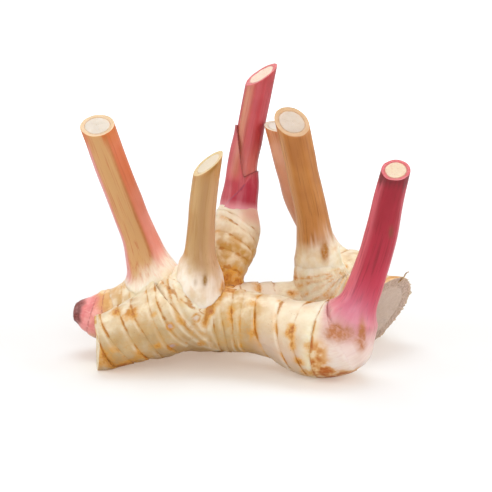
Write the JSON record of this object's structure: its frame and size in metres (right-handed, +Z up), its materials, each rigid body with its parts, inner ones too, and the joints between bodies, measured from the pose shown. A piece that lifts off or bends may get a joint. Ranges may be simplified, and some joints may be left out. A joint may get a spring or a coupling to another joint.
{
  "type": "galangal root",
  "caption": "Branching rhizome with ringed limbs, cut leafy stem stubs standing up from it, a leaf sheath round one stub and a pink shoot bud.",
  "frame": {"origin": "middle of the bounding box, on the surface that the root rests on", "axes": "+X along the root's longest side, +Z up, -Y towards the side with the pale front stem"},
  "size_m": [0.1692, 0.103, 0.1386],
  "materials": {
    "rhizome": "cream, semi-gloss, with brown ring scars",
    "stem_left": "yellow-tan and coral pink, satin",
    "stem_front": "beige, satin, white at the foot",
    "stem_back": "crimson pink, satin",
    "leaf_sheath": "crimson, satin",
    "stem_brown": "brown, fibrous, satin",
    "stem_rear": "pinkish tan, satin",
    "stem_right": "crimson, white at the foot, satin",
    "shoot_bud": "pink with a dark maroon tip, satin"
  },
  "bodies": {
    "root": {"rhizome": "rhizome", "stem_left": "stem_left", "stem_front": "stem_front", "stem_back": "stem_back", "leaf_sheath": "leaf_sheath", "stem_brown": "stem_brown", "stem_rear": "stem_rear", "stem_right": "stem_right", "shoot_bud": "shoot_bud"}
  },
  "joints": []
}
